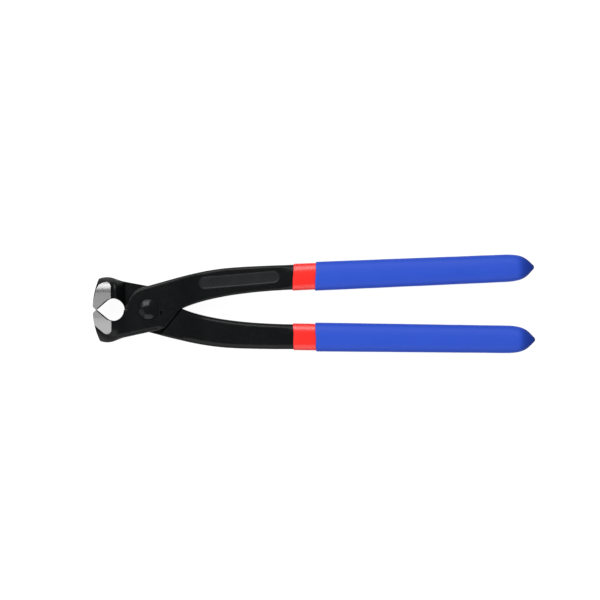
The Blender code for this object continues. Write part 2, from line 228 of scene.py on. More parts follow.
def relief(tree, *layers):
    """Bumps on top of each other, each with its height, distance and strength."""
    normal = {}
    for height, distance, strength in layers:
        inputs = {"Height": height, "Distance": distance, "Strength": strength, **normal}
        normal = {"Normal": add(tree, "ShaderNodeBump", inputs=inputs).outputs["Normal"]}
    return normal["Normal"]


def mesh_number(tree, name):
    return add(tree, "ShaderNodeAttribute", {"attribute_name": name}).outputs["Fac"]


print("helpers ready for noises, ranges, colours and relief")

# %% [markdown]
# The levers are drop forgings, dipped in black lacquer, so the skin of the forging still shows through as a
# fine uneven grain. Along the edges a grey line is painted, partly wear where the lacquer is thin and rubbed,
# partly a painted highlight of the light that rounded edges catch.
# The grey follows a number stored on the mesh, called edge, because only the mesh knows where its edges are.
# On the side walls the trimmed flash of the forging leaves a rough belt at mid height.
# The floor of the panel is a little paler, and the throat, the pit and the inner bevel get a dull lacquer
# without gloss that reflects nothing and stays dark, as painted shade.

# %% Black lacquer
# The grey of the edge line stands for worn lacquer and, in part, a painted highlight on the rounded edges.
WEAR_AND_HIGHLIGHT_TONE = (0.020, 0.021, 0.023)
BELT_HALF, WALL_STEEPNESS = 0.0009, 3.0


def flash_belt(tree, place):
    """1 along the middle of the side walls, 0 elsewhere."""
    height = add(tree, "ShaderNodeSeparateXYZ", inputs={"Vector": place}).outputs["Z"]
    normal = add(tree, "ShaderNodeNewGeometry").outputs["Normal"]
    upward = add(tree, "ShaderNodeSeparateXYZ", inputs={"Vector": normal}).outputs["Z"]
    off_middle = calc(tree, "ABSOLUTE", calc(tree, "SUBTRACT", height, LAP_HEIGHT))
    belt = calc(tree, "SUBTRACT", 1.0, calc(tree, "DIVIDE", off_middle, BELT_HALF), clamp=True)
    level = calc(tree, "MULTIPLY", calc(tree, "ABSOLUTE", upward), WALL_STEEPNESS)
    return calc(tree, "MULTIPLY", belt, calc(tree, "SUBTRACT", 1.0, level, clamp=True))


def black_lacquer(name, dark, light, shine):
    material, tree, place = new_finish(name)
    cloud = cloudy(tree, place, 110.0, 4.0)
    grain = cloudy(tree, place, 1900.0, 3.0)
    skin = cloudy(tree, place, 420.0, 5.0)
    patchy = remap(tree, skin, (0.3, 0.7), (0.0, 1.0))
    # The edge line: partly wear of the lacquer, partly a painted highlight.
    wear_and_highlight = calc(tree, "MULTIPLY", mesh_number(tree, "edge"), patchy, clamp=True)
    tone = blend(tree, wear_and_highlight, blend(tree, cloud, dark, light), WEAR_AND_HIGHLIGHT_TONE)
    roughness = remap(tree, skin, (0.25, 0.75), (0.25, 0.36))
    flash = flash_belt(tree, place)
    bumps = relief(tree, (skin, 0.00010, 0.5), (grain, 0.000014, 0.6), (flash, 0.00025, 0.6))
    set_shader(tree, tone, roughness, shine, bumps)
    return material


LACQUER = black_lacquer("black_lacquer", (0.0022, 0.0025, 0.0029), (0.0052, 0.0058, 0.0064), 0.17)
PANEL_LACQUER = black_lacquer("panel_lacquer", (0.0125, 0.0135, 0.0148), (0.0230, 0.0247, 0.0265), 0.17)
# Painted shade: a lacquer with no gloss, so that the throat, the pit and the inner bevel reflect nothing and
# stay dark.
SHADE_LACQUER = black_lacquer("painted_shade_lacquer", (0.0050, 0.0054, 0.0058), (0.0110, 0.0118, 0.0126), 0.0)
print("lacquer nodes", len(LACQUER.node_tree.nodes))

# %% [markdown]
# The cutting ends are ground after the lacquer, so they are bare bright steel. A grinding wheel leaves fine
# lines in one direction, which is a noise stretched along that direction, used for the height, for the
# roughness and a little for the tone.


# %% Ground steel
def ground_steel():
    material, tree, place = new_finish("ground_steel")
    lines = drawn_out(tree, place, (180.0, 5200.0, 180.0), 4.0)
    cloud = cloudy(tree, place, 350.0, 3.0)
    tone = blend(tree, lines, (0.41, 0.41, 0.415), (0.47, 0.47, 0.47))
    roughness = remap(tree, calc(tree, "MULTIPLY", lines, cloud), (0.1, 0.45), (0.22, 0.25))
    set_shader(tree, tone, roughness, 0.5, relief(tree, (lines, 0.000004, 0.5)), metallic=1.0)
    return material


GROUND = ground_steel()
print("ground steel nodes", len(GROUND.node_tree.nodes))

# %% [markdown]
# ## Outline of one lever
# Both levers are the same forging, and one is turned over. It has a jaw below the long axis, a round cheek at
# the pivot and a handle above. The outline could be drawn with Bezier curves by hand. Here it is worked out
# from a few sizes, in millimetres, because the other half has to meet it exactly at the jaw and the cheek.

# %% Drawing helpers
ARC_STEP = 4


def polar(radius, degrees):
    angle = math.radians(degrees)
    return Vector((radius * math.cos(angle), radius * math.sin(angle)))


def arc(centre, radius, start, end):
    steps = max(2, math.ceil(abs(end - start) / ARC_STEP))
    return [Vector(centre) + polar(radius, start + (end - start) * i / steps) for i in range(steps + 1)]


def bezier(start, first, second, end, steps=20):
    points = []
    for i in range(steps + 1):
        t = i / steps
        s = 1 - t
        points.append(s**3 * start + 3 * s * s * t * first + 3 * s * t * t * second + t**3 * end)
    return points


def crossing(point_a, direction_a, point_b, direction_b):
    gap = point_b - point_a
    turn = direction_a.x * direction_b.y - direction_a.y * direction_b.x
    share = (gap.x * direction_b.y - gap.y * direction_b.x) / turn
    return point_a + share * direction_a


def even_steps(points, step):
    """A row of points, with the long runs between them split."""
    row = [points[0]]
    for point in points[1:]:
        start = row[-1]
        count = max(1, math.ceil((point - start).length / step))
        row += [start + (point - start) * i / count for i in range(1, count + 1)]
    return row


def ease(value, zero_at=0.0, one_at=1.0):
    """Goes softly from 0 to 1."""
    share = min(1.0, max(0.0, (value - zero_at) / (one_at - zero_at)))
    return share * share * (3 - 2 * share)


print("a quarter of a circle takes", len(arc((0, 0), 1, 0, 90)), "points")

# %% Jaw and heel
CHEEK_R, CHEEK_T = 12.65, 7.5
JAW_HALF = 10.0
THROAT_X, THROAT_R = -20.0, 6.15
EDGE_X, CROWN_X = -29.6, -23.0
NOSE_X, NOSE_Y, NOSE_PULL = -31.25, -2.5, 4
CROWN_HALF, CORNER_X, CORNER_DROP = 18.45, -27.75, 0.75
FRONT_ANGLE, FRONT_PULL = -68, 5
CROWN_ANGLE, CROWN_PULLS = -16, (1.8, 2.2)
WAIST_R, WAIST_ANGLE, WAIST_GAP = 12.75, 11.5, 0.6
HEEL_R, HEEL_ANGLE, HEEL_ROUND = 14.4, 40.4, 3.0
SHOULDER_X, SHOULDER_RUN = -13.05, 4.9
PARTING = -0.1
PAST_PARTING = 3

heel_normal = polar(1, -HEEL_ANGLE)
heel_run = Vector((-heel_normal.y, heel_normal.x))
waist_normal = polar(1, WAIST_ANGLE - 90)
waist_run = polar(1, WAIST_ANGLE)
crotch = Vector(((HEEL_R + heel_normal.y * PARTING) / heel_normal.x, -PARTING))


def head_outline():
    meet = crossing(WAIST_R * waist_normal, waist_run, HEEL_R * heel_normal, heel_run)
    waist = crossing(Vector((SHOULDER_X - WAIST_GAP, 0)), Vector((0, 1)), meet, waist_run)
    waist_pull = (waist.x - CROWN_X) / 3
    heel_centre = crossing(
        (WAIST_R - HEEL_ROUND) * waist_normal, waist_run, (HEEL_R - HEEL_ROUND) * heel_normal, heel_run
    )
    nose = Vector((NOSE_X, NOSE_Y))
    corner = Vector((CORNER_X, CORNER_DROP - CROWN_HALF))
    crown = Vector((CROWN_X, -CROWN_HALF))
    leave, arrive = polar(CROWN_PULLS[0], CROWN_ANGLE), Vector((CROWN_PULLS[1], 0))
    points = [Vector((NOSE_X, PAST_PARTING))]
    front = corner - FRONT_PULL * polar(1, FRONT_ANGLE)
    points += bezier(nose, nose - Vector((0, NOSE_PULL)), front, corner, 12)
    points += bezier(corner, corner + leave, crown - arrive, crown, 10)[1:]
    points += bezier(crown, crown + Vector((waist_pull, 0)), waist - waist_pull * waist_run, waist, 14)[1:]
    points += arc(heel_centre, HEEL_ROUND, WAIST_ANGLE - 90, -HEEL_ANGLE)
    return points + [crotch - 3 * heel_run, Vector((CHEEK_R, 0)), Vector((-CHEEK_R / 2, PAST_PARTING))]


print("head outline", len(head_outline()), "points")

# %% Handle
NECK, TAIL = Vector((80, 16.8)), Vector((201, 20.05))
NECK_W, TAIL_W = 14.2, 13.3
TAIL_LENGTH, TAIL_TIP_R = 16.0, 2.0
RISE_ANGLE, CROTCH_ANGLE = 15.2, 23

along = (TAIL - NECK).normalized()
across = Vector((-along.y, along.x))
bar_length = (TAIL - NECK).length


def half_widths(spread=0.0, reach=0.0, tip_radius=TAIL_TIP_R, pull=(8.8, 4.4)):
    """Half the width of the bar along its middle line, from the neck to the tip, spread outwards."""
    shoulder = Vector((bar_length, TAIL_W / 2))
    tip_centre = Vector((bar_length + TAIL_LENGTH + reach - tip_radius, 0))
    end = tip_centre + polar(tip_radius, 45)
    points = [Vector((0, NECK_W / 2))]
    points += bezier(shoulder, shoulder + Vector((pull[0], 0)), end + polar(pull[1], 135), end, 24)
    points += arc(tip_centre, tip_radius, 45, 0)[1:]
    moved = []
    for before, point, after in zip([points[0]] + points, points, points[1:] + [points[-1]]):
        run = (after - before).normalized()
        moved.append(point + spread * Vector((-run.y, run.x)))
    moved[-1] = points[-1] + Vector((spread, 0))
    return moved


def eased(start, start_run, end, end_run, fullness):
    """A curve between two runs that pulls towards the place where they would meet."""
    meet = crossing(start, start_run, end, end_run)
    return bezier(start, start + fullness * (meet - start), end + fullness * (meet - end), end)


def handle_outline():
    leave = polar(CHEEK_R, 90 + RISE_ANGLE)
    inner = [NECK + along * s - across * w for s, w in half_widths()]
    outer = [NECK + along * s + across * w for s, w in half_widths()]
    heel_tangent = -math.degrees(math.acos(CHEEK_R / crotch.length))
    points = arc((0, 0), CHEEK_R, 90 + RISE_ANGLE, 360 + heel_tangent)
    points += eased(crotch, polar(1, CROTCH_ANGLE), inner[0], inner[1] - inner[0], 2 / 3)
    points += inner[1:] + outer[-2:0:-1]
    points += eased(outer[0], outer[0] - outer[1], leave, polar(1, RISE_ANGLE), 1)[:-1]
    return points


print("handle outline", len(handle_outline()), "points, bar", round(bar_length, 1), "mm long")

# %% [markdown]
# ## Forging the lever
# A forging is thick and rounded at the jaw, thinner at the bar, and has soft edges everywhere.
# Modelling that by hand with subdivision surfaces would take long, because a round cheek, a jaw and a bar
# meet in one place. Here two flat plates with rounded rims are joined with a Boolean after a rough cut for
# the throat, and a voxel Remesh lays one even skin over everything. A little smoothing then rounds the edges,
# just as the lacquer does.

# %% Plates with rounded rims
ROUND, ROUND_STEPS = 1.3, 5
BAR_T, BAR_END, NECK_T, TAIL_T = 8.6, 32.65, 7.0, 2.9
JAW_FALL_X, JAW_FALL, HEAD_SINK = -21.0, 10.0, 0.05
SIDE_STEPS = 12


def facing_out(shape):
    bmesh.ops.recalc_face_normals(shape, faces=shape.faces)
    return shape


def ring(shape, low, high):
    """A closed wall of faces between two rows of points."""
    for i in range(len(low)):
        shape.faces.new((low[i - 1], low[i], high[i], high[i - 1]))


def plate(outline, half_thickness):
    shape = bmesh.new()
    low = [shape.verts.new((*point, -half_thickness)) for point in outline]
    high = [shape.verts.new((*point, half_thickness)) for point in outline]
    shape.faces.new(low)
    shape.faces.new(high)
    ring(shape, low, high)
    return facing_out(shape)


def interpolate(knots, x):
    if x <= knots[0][0]:
        return knots[0][1]
    for (x0, height0), (x1, height1) in zip(knots, knots[1:]):
        if x <= x1:
            return height0 + (height1 - height0) * (x - x0) / (x1 - x0)
    return knots[-1][1]


def as_mesh(shape, name, material):
    mesh = bpy.data.meshes.new(name)
    shape.to_mesh(mesh)
    shape.free()
    mesh.materials.append(material)
    return mesh


def rounded_plate(name, outline, half_thickness, front, back):
    """A plate with rounded rims. Its faces follow side profiles, given as knots along the length."""
    shape = plate(outline, half_thickness)
    rims = [edge for face in shape.faces if abs(face.normal.z) > 0.9 for edge in face.edges]
    bmesh.ops.bevel(shape, geom=rims, offset=ROUND, segments=ROUND_STEPS, profile=0.5, affect="EDGES")
    for x in sorted({x for x, height in front + back}):
        everything = list(shape.verts) + list(shape.edges) + list(shape.faces)
        bmesh.ops.bisect_plane(shape, geom=everything, dist=1e-4, plane_co=(x, 0, 0), plane_no=(1, 0, 0))
    for vertex in shape.verts:
        if vertex.co.z > 0:
            vertex.co.z += interpolate(front, vertex.co.x) - half_thickness
        else:
            vertex.co.z -= interpolate(back, vertex.co.x) - half_thickness
    return as_mesh(shape, name, LACQUER)


bar_side = []
head_front = []
for i in range(SIDE_STEPS + 1):
    share = ease(i / SIDE_STEPS)
    bar_x = CHEEK_R + (BAR_END - CHEEK_R) * i / SIDE_STEPS
    bar_side.append((bar_x, CHEEK_T + (BAR_T / 2 - CHEEK_T) * share))
    head_x = JAW_FALL_X + JAW_FALL * i / SIDE_STEPS
    head_front.append((head_x, JAW_HALF + (CHEEK_T - HEAD_SINK - JAW_HALF) * share))
bar_side += [(NECK.x, NECK_T / 2), (TAIL.x, NECK_T / 2), (TAIL.x + TAIL_LENGTH, TAIL_T / 2)]
head_back = [(0.0, JAW_HALF)]

head = rounded_plate("head", head_outline(), JAW_HALF, head_front, head_back)
handle = rounded_plate("handle", handle_outline(), CHEEK_T, bar_side, bar_side)
print("head", len(head.polygons), "faces, handle", len(handle.polygons), "faces")

# %% Rough cut and join
STOCK = 0.8
CLEAR, FAR = 15, 40


def throat_outline():
    """The throat and all beyond the parting line, less some metal that is left for the machining."""
    edge = Vector((EDGE_X, PARTING + STOCK))
    radius = THROAT_R - STOCK
    tangent = 180 + math.degrees(math.acos(radius / (THROAT_X - EDGE_X)))
    back_x = -CHEEK_R + 0.5
    points = [edge]
    points += arc((THROAT_X, 0), radius, tangent, 360 + math.degrees(math.asin(PARTING / radius)))
    points += [Vector((back_x, PARTING)), Vector((back_x, FAR)), Vector((EDGE_X - FAR, FAR))]
    return points + [edge - Vector((FAR, FAR))]


def settled(obj):
    """The mesh that an object's modifiers leave. The object itself goes."""
    bpy.context.view_layer.update()
    graph = bpy.context.evaluated_depsgraph_get()
    mesh = bpy.data.meshes.new_from_object(obj.evaluated_get(graph), depsgraph=graph)
    bpy.data.objects.remove(obj)
    return mesh


def combine(mesh, operation, tool_mesh):
    """What is left of a mesh after a tool has cut it or has been joined to it."""
    work, tool = placed("work", mesh), placed("tool", tool_mesh)
    step = work.modifiers.new("step", "BOOLEAN")
    step.operation = operation
    step.solver = "EXACT"
    step.material_mode = "TRANSFER"
    step.object = tool
    result = settled(work)
    bpy.data.objects.remove(tool)
    return result


blank = combine(head, "DIFFERENCE", as_mesh(plate(throat_outline(), CLEAR), "throat", LACQUER))
blank = combine(blank, "UNION", handle)
print("blank", len(blank.polygons), "faces")

# %% One even skin
skin_work = placed("skin", blank)
skin = skin_work.modifiers.new("skin", "REMESH")
skin.mode = "VOXEL"
skin.voxel_size = 0.4
relax = skin_work.modifiers.new("relax", "SMOOTH")
relax.factor = 0.5
relax.iterations = 6
forging = settled(skin_work)
print("skin", len(forging.polygons), "faces")

# %% [markdown]
# The bar has soft edges under the dipped grips, so that the first coat follows a rounded section.
# The section is a superellipse, the curve between an ellipse and a rectangle. Any point of the skin that
# stands outside it is drawn in.

# %% Soft bar
SOFT_START, SOFT_RUN = 74.0, 8.0
STEEL_TIP, THINNEST = 0.9, 0.05
RED_SQUARENESS = 3.0
steel_widths = [tuple(point) for point in half_widths()]
steel_side = bar_side[:-1] + [(TAIL.x + TAIL_LENGTH, STEEL_TIP)]


def drawn_in(place):
    flat = Vector(place[:2]) - NECK
    s, v = flat.dot(along), flat.dot(across)
    share = min(1.0, max(0.0, (place[0] - SOFT_START) / SOFT_RUN))
    half_width = max(THINNEST, interpolate(steel_widths, s))
    half_height = max(THINNEST, interpolate(steel_side, place[0]))
    outside = (abs(v) / half_width) ** RED_SQUARENESS + (abs(place[2]) / half_height) ** RED_SQUARENESS
    if outside <= 1 or share == 0:
        return place
    scale = 1 + share * (outside ** (-1 / RED_SQUARENESS) - 1)
    flat = NECK + along * s + across * v * scale
    return Vector((flat.x, flat.y, place[2] * scale))


print("corner of the bar at", [round(value, 2) for value in drawn_in(Vector((100, 24, 3.4)))])

# %% [markdown]
# The jaw falls away all round: its rims are domed, they turn into a slant at the waist, and the two sides
# roll off towards the outer end. Past the round end of a ground face, the black skin drops under the wheel's
# cut, and inside it the skin stands proud of the cut, so that the wheel leaves a clean outline.
# The distance to the outline comes from a search tree over its points.

# %% Rims of the jaw and the bar
RIM_STEP, SLANT_CURVE = 0.15, 0.07
JAW_DOME, WAIST_SLANT = (2.6, 3.4), (2.1, 0.85)
BAR_DOME, BAR_SLANT = (2.3, 2.1), (2.3, 0.5)
FRONT, BACK = 1, -1
ROLLS = {FRONT: (4.0, 35.0), BACK: (9.6, 13.0)}
FACET_START, FACET_SLOPE = EDGE_X + 8.85, math.tan(math.radians(17))
BACK_END, BACK_END_R, BACK_FLARE = Vector((-23.7, -9.4)), 6.1, 0.3
BACK_CORNER, BACK_CORNER_R, BACK_CORNER_FALL = Vector((-23.8, -12.8)), 2.9, 1.6
FRONT_END, FRONT_END_R, FRONT_END_RUN = Vector((-23.4, -11.15)), 2.6, polar(1, -40)
END_FALL, END_CURVE, END_PROUD = 0.35, 0.06, 0.6


def search_tree(outline):
    points = even_steps(outline, RIM_STEP)
    tree = KDTree(len(points))
    for i, point in enumerate(points):
        tree.insert(point.to_3d(), i)
    tree.balance()
    return tree


def dome(distance, width, depth):
    """How far a rounded rim lies below its face, at a distance inside the outline."""
    inside = max(0.0, 1 - distance / width)
    return depth * (1 - math.sqrt(1 - inside**2))


def slanted(distance, width, slope):
    """The same for a rim that is ground off at a slant, a little steeper towards the outline."""
    inside = max(0.0, width - distance)
    return slope * inside + SLANT_CURVE * inside**2


def rolled_off(y, side):
    """How far a side of the jaw falls away towards its outer end."""
    start, radius = ROLLS[side]
    return max(0.0, abs(y) - start) ** 2 / (2 * radius)


def ground_height(x, y, side):
    """Height of the ground face over the lap plane, sloping to the cutting edge."""
    return JAW_HALF - FACET_SLOPE * (FACET_START - x) - rolled_off(y, side)


def beyond_back(x, y):
    """How far a point lies outside the round end of the ground face on the back, below zero inside it."""
    past = Vector((x, y)) - BACK_END
    outward = math.hypot(past.x, min(0.0, past.y)) - BACK_END_R - BACK_FLARE * max(0.0, past.y)
    off_corner = math.hypot(max(0.0, x - BACK_CORNER.x), max(0.0, BACK_CORNER.y - y))
    return max(outward, BACK_CORNER_FALL * (off_corner - BACK_CORNER_R))


def beyond_front(x, y):
    """The same for the front, where the end is a slanting line that turns into a small round."""
    past = Vector((x, y)) - FRONT_END
    if past.dot(FRONT_END_RUN) > 0:
        return math.hypot(past.x, min(0.0, past.y)) - FRONT_END_R
    return past.dot(Vector((FRONT_END_RUN.y, -FRONT_END_RUN.x))) - FRONT_END_R


jaw_rim = search_tree(head_outline()[1:-3])
bar_rim = search_tree(handle_outline())


def jaw_height(place):
    """The share of its height that a point of the jaw keeps."""
    x, y = place.x, place.y
    distance = jaw_rim.find((x, y, 0))[2]
    side = FRONT if place.z > 0 else BACK
    top = interpolate(head_front if side == FRONT else head_back, x)
    before = top - dome(distance, ROUND, ROUND)
    at_waist = ease(x, -17, -11)
    rim = (1 - at_waist) * dome(distance, *JAW_DOME) + at_waist * slanted(distance, *WAIST_SLANT)
    after = min(before, top - ease(x, 10, 2) * rim)
    beyond = beyond_front(x, y) if side == FRONT else beyond_back(x, y)
    drop = END_FALL * beyond + END_CURVE * beyond**2 if beyond > 0 else END_PROUD * beyond
    limit = ground_height(x, y, side) - drop
    after -= ease(x, -12, -20) * rolled_off(y, side)
    after += ease(x, -16.5, -20.5) * min(0.0, limit - after)
    return after / before


def bar_height(place):
    """The share of its height that a point on the back of the bar keeps."""
    nearest, number, distance = bar_rim.find((place.x, place.y, 0))
    top = interpolate(bar_side, place.x)
    share = ease(place.x, 16, 24) * ease(place.x, 88, 82)
    rim = slanted(distance, *BAR_SLANT) if nearest.y > place.y else dome(distance, *BAR_DOME)
    before = dome(distance, ROUND, ROUND)
    return (top - max(before, share * rim)) / (top - before)


print("rim points", len(even_steps(head_outline()[1:-3], RIM_STEP)), "round the jaw")

# %% [markdown]
# All three rules are now applied to the skin. Outside the grips it also gets the slight unevenness of a die
# forging, which is a noise along the normals.

# %% Uneven skin
JAW_PART = (14, -3)
BAR_PART = (16, 88)
UNEVENNESS = 0.035

places = []
for place, normal in [(vertex.co.copy(), vertex.normal.copy()) for vertex in forging.vertices]:
    if place.x < JAW_PART[0] and place.y < JAW_PART[1]:
        place.z *= jaw_height(place)
    elif BAR_PART[0] < place.x < BAR_PART[1] and place.z < 0:
        place.z *= bar_height(place)
    if place.x > SOFT_START:
        place = drawn_in(place)
    else:
        wave = noise.noise(place * 0.16) + 0.5 * noise.noise(place * 0.45)
        place += normal * UNEVENNESS * wave
    places.extend(place)
forging.vertices.foreach_set("co", places)
forging.update()
forging.materials.clear()
forging.materials.append(LACQUER)
print("skin points moved", len(forging.vertices))

# %% [markdown]
# ## Machining the lever
# After the forging come the cuts that stay crisp: the lap, the bore of the rivet, the throat, a small pit,
# the sunk panel in the handle, the cutting edge, and the two ground faces on the outside of the jaw. Each
# is a Boolean with a tool that carries the finish of the cut surface, so the ground faces come out bright,
# the panel pale, and the throat and the pit get a lacquer without gloss that stays dark as painted shade.
# The wheel that grinds the jaws leaves a face that rolls off towards the outer end, so the tool for it is a
# grid that is bent by a small rule instead of a flat block.

# %% Lap, drills and panel
LAP_GAP, HEEL_PLAY, LAP_REACH = 0.1, 0.4, 24
BORE_R, REAM_R = 4.1, THROAT_R + 0.2
PIT_SIZE, PIT_PLACE = (1.0, 1.5, 1.2), (7.4, -2.3, CHEEK_T - 0.1)
PANEL_START, PANEL_END, PANEL_R, PANEL_DEPTH = Vector((32, 14.3)), Vector((70.8, 17.1)), 3.5, 0.5
PANEL_WALL = ((-1.0, 1.0), (-0.88, 0.6), (-0.54, 0.25), (0.0, 0.0), (2.0, -0.9))

shoulder_normal = polar(1, HEEL_ANGLE)


def shoulder_x(z):
    """Where the sloping shoulder of the jaw lies at a height."""
    return SHOULDER_X + SHOULDER_RUN * (z - LAP_GAP) / JAW_HALF


def lap_block():
    """Room for the other lever's cheek, from the shoulder of the jaw to the shoulder of the handle."""
    shape = bmesh.new()
    bmesh.ops.create_cube(shape, size=2)
    for vertex in shape.verts:
        y = math.copysign(LAP_REACH, vertex.co.y)
        z = LAP_GAP if vertex.co.z > 0 else -CLEAR
        if vertex.co.x < 0:
            x = shoulder_x(z)
        else:
            x = (HEEL_R + HEEL_PLAY - shoulder_normal.y * y) / shoulder_normal.x
        vertex.co = (x, y, z)
    return shape


def drill(x, radius, segments):
    shape = bmesh.new()
    size = {"radius1": radius, "radius2": radius, "depth": FAR}
    bmesh.ops.create_cone(shape, cap_ends=True, segments=segments, **size)
    bmesh.ops.translate(shape, verts=shape.verts, vec=(x, 0, 0))
    return shape


def pit_tool():
    """A small pit that a punch has left beside the rivet."""
    shape = bmesh.new()
    bmesh.ops.create_uvsphere(shape, u_segments=24, v_segments=12, radius=1.0)
    bmesh.ops.scale(shape, verts=shape.verts, vec=PIT_SIZE)
    bmesh.ops.translate(shape, verts=shape.verts, vec=PIT_PLACE)
    return shape


def panel_tool():
    """A long round-ended slug. Its wall is given as rows of a lift and an inset."""
    run = math.degrees(math.atan2(PANEL_END.y - PANEL_START.y, PANEL_END.x - PANEL_START.x))
    shape = bmesh.new()
    rows = []
    for lift, inset in PANEL_WALL:
        lift, radius = lift * PANEL_DEPTH, PANEL_R - inset
        points = arc(PANEL_START, radius, run + 90, run + 270) + arc(PANEL_END, radius, run - 90, run + 90)
        rows.append([shape.verts.new((*p, interpolate(bar_side, p.x) + lift)) for p in points])
    for row, following in zip(rows, rows[1:]):
        ring(shape, row, following)
    half = len(rows[0]) // 2
    for row in (rows[0], rows[-1]):
        for i in range(half - 1):
            shape.faces.new((row[i], row[i + 1], row[-2 - i], row[-1 - i]))
    return facing_out(shape)


print("panel", round((PANEL_END - PANEL_START).length + 2 * PANEL_R, 1), "mm long")

# %% Cutting edge, ground faces and all cuts
EDGE = Vector((EDGE_X, PARTING))
COLUMNS, LINES = 28, 60
WHEEL_X, WHEEL_Y, WHEEL_TOP = (FACET_START + 2.0, 15.0), (-24.0, 30.0), 16.0


def inner_bevel():
    """All above the plane from the cutting edge to the wall of the throat."""
    centre = Vector((THROAT_X, 0))
    away = centre - EDGE
    tangent = 180 + math.degrees(math.atan2(away.y, away.x) + math.acos(REAM_R / away.length))
    run = centre + polar(REAM_R, tangent) - EDGE
    return [EDGE + 0.97 * run, centre, EDGE + Vector((-6, 8)), EDGE - 0.7 * run]


def nose_bevel():
    """All above the plane that falls from the cutting edge to the front."""
    return [EDGE - Vector((6, 6)), EDGE + Vector((4, 4)), EDGE + Vector((4, 8)), EDGE + Vector((-6, 8))]


def facet_tool(side):
    """The wheel's cut on one side of the jaw, a height field with room above it."""
    shape = bmesh.new()
    width = LINES + 1
    low, high = [], []
    for i in range(COLUMNS + 1):
        x = WHEEL_X[0] - WHEEL_X[1] * i / COLUMNS
        for k in range(width):
            y = WHEEL_Y[0] + WHEEL_Y[1] * k / LINES
            low.append(shape.verts.new((x, y, side * ground_height(x, y, side))))
            high.append(shape.verts.new((x, y, side * WHEEL_TOP)))
    for i in range(COLUMNS):
        for k in range(LINES):
            for rows in (low, high):
                a = i * width + k
                shape.faces.new((rows[a], rows[a + 1], rows[a + width + 1], rows[a + width]))
    border = list(range(width))
    border += [i * width + LINES for i in range(1, COLUMNS + 1)]
    border += [COLUMNS * width + k for k in range(LINES - 1, -1, -1)]
    border += [i * width for i in range(COLUMNS - 1, 0, -1)]
    ring(shape, [low[a] for a in border], [high[a] for a in border])
    return facing_out(shape)


lever = forging
for name, tool, finish in (
    ("lap", lap_block(), LACQUER),
    ("bore", drill(0, BORE_R, 72), LACQUER),
    # The throat wall, the pit and the inner bevel take the lacquer without gloss, as painted shade.
    ("ream", drill(THROAT_X, REAM_R, 120), SHADE_LACQUER),
    ("pit", pit_tool(), SHADE_LACQUER),
    ("panel", panel_tool(), PANEL_LACQUER),
    ("inner_bevel", plate(inner_bevel(), CLEAR), SHADE_LACQUER),
    ("nose_bevel", plate(nose_bevel(), CLEAR), GROUND),
    ("front_facet", facet_tool(FRONT), GROUND),
    ("rear_facet", facet_tool(BACK), GROUND),
):
    lever = combine(lever, "DIFFERENCE", as_mesh(tool, name, finish))
print("lever", len(lever.polygons), "faces,", [material.name for material in lever.materials])

# %% [markdown]
# ## Worn edges and painted edge highlights
# To let the finish know where the edges are, each point gets a number from 0 on flats and hollows to 1 on a
# sharp outer edge. It is the mean of the angles at which the faces round the point turn away from each
# other, and it is spread over the neighbours so that the grey line, partly wear and partly a painted
# highlight, has a soft border.

# %% Worn edges with painted highlights, and both levers
LEAST_BEND, BEND_RANGE = 0.06, 0.22
TOUCHING = 0.02
LEVER_SHARP = math.radians(38)


def on_lap(place):
    """True on the machined lap and on its two shoulders, which lie too deep to be worn and get no grey line
    of wear and painted highlight.
    """
    jaw_side = place.x - shoulder_x(place.z)
    handle_side = place.xy.dot(shoulder_normal) - HEEL_R - HEEL_PLAY
    distance = min(abs(jaw_side), abs(handle_side), abs(place.z - LAP_GAP))
    return place.z < LAP_GAP + TOUCHING and distance < TOUCHING


def spread_out(shape, values):
    """Each point's number, mixed half and half with the mean of its neighbours' numbers."""
    mixed = []
    for vertex in shape.verts:
        near = [values[edge.other_vert(vertex).index] for edge in vertex.link_edges]
        mixed.append(0.5 * values[vertex.index] + 0.5 * sum(near) / max(1, len(near)))
    return mixed


def store_edges(mesh):
    shape = bmesh.new()
    shape.from_mesh(mesh)
    bmesh.ops.remove_doubles(shape, verts=shape.verts, dist=1e-4)
    shape.verts.index_update()
    bends = []
    for vertex in shape.verts:
        angles = [edge.calc_face_angle_signed(0) for edge in vertex.link_edges]
        bend = (sum(angles) / max(1, len(angles)) - LEAST_BEND) / BEND_RANGE
        bends.append(0.0 if on_lap(vertex.co) else min(1.0, max(0.0, bend)))
    bends = spread_out(shape, spread_out(shape, bends))
    for edge in shape.edges:
        faces = edge.link_faces
        edge.smooth = len(faces) == 2 and faces[0].material_index == faces[1].material_index
    for face in shape.faces:
        face.smooth = True
    shape.to_mesh(mesh)
    shape.free()
    mesh.attributes.new("edge", "FLOAT", "POINT").data.foreach_set("value", bends)
    return sum(1 for value in bends if value > 0.5)


def sharpened(mesh):
    """Hard shading at steep edges and round the ground faces, soft everywhere else."""
    kept = [edge.use_edge_sharp for edge in mesh.edges]
    mesh.set_sharp_from_angle(angle=LEVER_SHARP)
    for edge, sharp in zip(mesh.edges, kept):
        edge.use_edge_sharp = edge.use_edge_sharp or sharp


def finished(name, mesh, body, node):
    """A piece in its place in metres, riding on its half of the tool."""
    mesh.name = name
    obj = placed(name, mesh)
    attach(obj, body)
    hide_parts(node)
    triangles = sum(len(face.vertices) - 2 for face in mesh.polygons)
    print(name, "on", body, "with", triangles, "triangles")


LIFT, METRES = Matrix.Translation((0, 0, LAP_HEIGHT)), Matrix.Scale(0.001, 4)
TO_PLACE = LIFT @ METRES
TURNED_OVER = LIFT @ Matrix.Rotation(math.pi, 4, "X") @ METRES

print("edge points", store_edges(lever))
sharpened(lever)
rear_lever = lever.copy()
lever.transform(TO_PLACE)
rear_lever.transform(TURNED_OVER)
finished("front_lever_forging", lever, "front_half", "front_lever")
finished("rear_lever_forging", rear_lever, "rear_half", "rear_lever")

